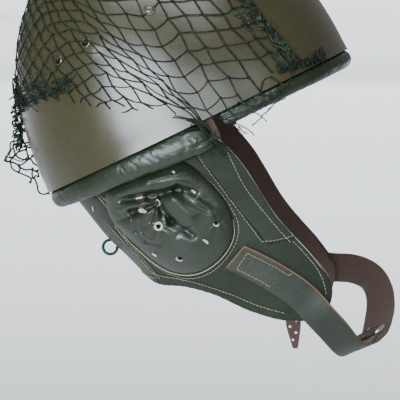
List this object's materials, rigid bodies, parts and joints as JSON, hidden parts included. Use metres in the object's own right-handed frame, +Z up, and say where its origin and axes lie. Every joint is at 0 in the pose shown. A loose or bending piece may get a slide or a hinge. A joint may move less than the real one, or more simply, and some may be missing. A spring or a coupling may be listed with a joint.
{
  "type": "paratrooper helmet",
  "caption": "Steel-domed paratrooper helmet on padded leather rim rolls, with leather ear flaps, nape curtain, buckled chin strap and knotted camouflage net.",
  "frame": {"origin": "inside of the crown of the steel shell, where the wearer's head carries the helmet", "axes": "+X the way the wearer faces, +Z up, -Y the wearer's right side; the rim is higher at the front by 25.8 degrees, as worn"},
  "size_m": [0.3118, 0.2332, 0.3629],
  "materials": {
    "painted_steel": "satin olive-brown paint, worn",
    "roll_leather": "glossy dark green leather over padding",
    "flap_leather": "glossy dark green leather, creased",
    "strap_leather": "dull green leather with tan cut edges",
    "nickel_wire": "nickel-plated wire",
    "twine": "dark green cotton twine"
  },
  "bodies": {
    "root": {"steel_shell": "painted_steel", "right_liner_rivet": "painted_steel", "left_liner_rivet": "painted_steel", "right_vent_front": "painted_steel", "left_vent_front": "painted_steel", "right_vent_back": "painted_steel", "left_vent_back": "painted_steel", "brow_roll": "roll_leather", "nape_roll": "roll_leather", "nape_curtain": "flap_leather", "right_ear_flap": "flap_leather", "left_ear_flap": "flap_leather", "right_front_band": "flap_leather", "left_front_band": "flap_leather", "right_ear_pocket": "flap_leather", "left_ear_pocket": "flap_leather", "right_chin_strap": "strap_leather", "left_chin_strap": "strap_leather", "left_strap_tail": "strap_leather", "buckle_frame": "nickel_wire", "buckle_prong": "nickel_wire", "nape_cord_loop": "twine", "camouflage_net": "twine", "net_tail": "twine"}
  },
  "joints": []
}
